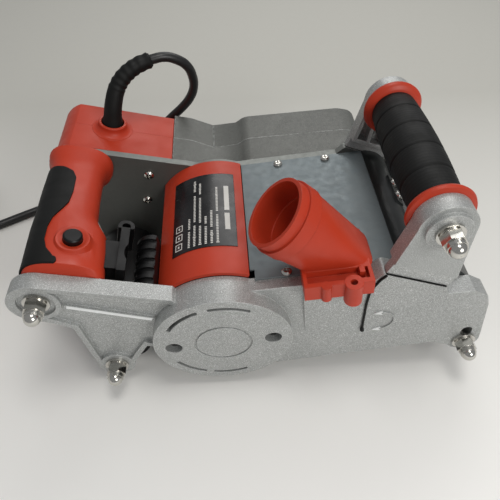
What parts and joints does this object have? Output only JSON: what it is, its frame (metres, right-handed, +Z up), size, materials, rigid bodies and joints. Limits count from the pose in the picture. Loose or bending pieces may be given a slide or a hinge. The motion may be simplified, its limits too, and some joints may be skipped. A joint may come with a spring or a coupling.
{
  "type": "wall chaser",
  "caption": "Hand-held electric wall chaser with a stack of diamond blades between two cast side plates, a bail front grip, a trigger rear handle, rollers, a hose port and a mains cord.",
  "frame": {"origin": "on the floor, under the middle of the machine's own length and width, without its mains cord", "axes": "+X from the rear handle to the front grip, +Y from the right side with the round end disc to the left side with the gear case, +Z up; the machine stands nose-up by six degrees on its blades and rear roller"},
  "size_m": [0.5557, 0.2806, 0.1853],
  "materials": {
    "red_plastic": "satin injection-moulded plastic, red-orange",
    "cast_silver": "die casting with fine-textured silver paint",
    "cast_grey": "die casting, plain grey, slightly rough",
    "cover_steel": "zinc-plated sheet, dull blue-grey",
    "black_plastic": "black moulded plastic, satin",
    "rubber": "soft black rubber",
    "label_film": "printed film, semi-gloss black",
    "nickel": "bright nickel plating",
    "steel": "turned and ground steel",
    "blade_steel": "steel core with a grey segmented rim",
    "core_steel": "stacked laminations, dull",
    "copper": "copper and brass, bare",
    "carbon": "pressed carbon"
  },
  "bodies": {
    "frame": {"right_side_plate": "cast_silver", "end_screws": "nickel", "right_front_arm": "cast_silver", "left_side_plate": "cast_grey", "left_front_arm": "cast_silver", "gear_case": "cast_grey", "gear_cover": "cast_grey", "gear_cover_screws": "nickel", "motor_cover": "red_plastic", "rating_label": "label_film", "motor_housing": "black_plastic", "arm_screws": "nickel", "stator_core": "core_steel", "field_coils": "copper", "motor_bearings": "steel", "brush_holders": "copper", "carbon_brushes": "carbon", "brush_springs": "steel", "idler_shaft": "steel", "spindle_bearings": "steel", "top_cover": "cover_steel", "cover_screws": "nickel", "front_guard": "black_plastic", "seam_gasket": "rubber", "dust_port": "red_plastic", "port_screw": "nickel", "front_handle_rod": "nickel", "grip_sleeve": "rubber", "grip_collars": "red_plastic", "acorn_nuts": "nickel", "rear_handle_top": "red_plastic", "rear_handle_bottom": "red_plastic", "handle_overmold": "rubber", "rear_handle_rod": "nickel", "switch_module": "black_plastic", "control_box": "red_plastic", "control_box_lid": "red_plastic", "rear_axle": "nickel", "cable_boot": "rubber", "cord_lead": "rubber", "cord_coil": "rubber", "mains_plug": "black_plastic"},
    "rotor": {"armature_shaft": "steel", "armature_core": "core_steel", "commutator": "copper", "cooling_fan": "black_plastic", "pinion": "steel"},
    "idler": {"idler_gear": "steel"},
    "blade_spindle": {"spindle": "steel", "output_gear": "steel", "blades": "blade_steel", "blade_spacers": "steel", "blade_nut": "nickel"},
    "front_axle_unit": {"front_axle": "nickel", "front_axle_nuts": "nickel"},
    "front_wheel": {"front_roller": "black_plastic"},
    "rear_wheel": {"rear_roller": "black_plastic"},
    "trigger_lever": {"trigger": "black_plastic"},
    "button": {"lock_button": "black_plastic"}
  },
  "joints": [
    {"name": "blade_spin", "type": "hinge", "parent": "frame", "child": "blade_spindle", "pos_m": [0.06986, 0.00054, 0.055], "axis": [0, 1, 0], "continuous": true},
    {"name": "idler_spin", "type": "hinge", "parent": "frame", "child": "idler", "pos_m": [0.01147, 0.06254, 0.05869], "axis": [0, 1, 0], "continuous": true},
    {"name": "rotor_spin", "type": "hinge", "parent": "frame", "child": "rotor", "pos_m": [-0.03194, -0.01946, 0.06142], "axis": [0, 1, 0], "continuous": true},
    {"name": "front_axle_height", "type": "slide", "parent": "frame", "child": "front_axle_unit", "axis": [-0.1043, 0, 0.9945], "range_m": [0, 0.013]},
    {"name": "front_roller_spin", "type": "hinge", "parent": "front_axle_unit", "child": "front_wheel", "pos_m": [0.15476, -0.01846, 0.03576], "axis": [0, 1, 0], "continuous": true},
    {"name": "rear_roller_spin", "type": "hinge", "parent": "frame", "child": "rear_wheel", "pos_m": [-0.11554, -0.01846, 0.0245], "axis": [0, 1, 0], "continuous": true},
    {"name": "trigger_pull", "type": "slide", "parent": "frame", "child": "trigger_lever", "axis": [-0.9702, 0, 0.2421], "range_m": [0, 0.006], "stiffness_N_per_m": 400},
    {"name": "lock_button_press", "type": "slide", "parent": "frame", "child": "button", "axis": [-0.2421, 0, -0.9702], "range_m": [0, 0.003], "stiffness_N_per_m": 500}
  ],
  "couplings": [
    {"joint": "idler_spin", "follows": "blade_spin", "ratio": -0.85714},
    {"joint": "rotor_spin", "follows": "blade_spin", "ratio": 2.25}
  ]
}
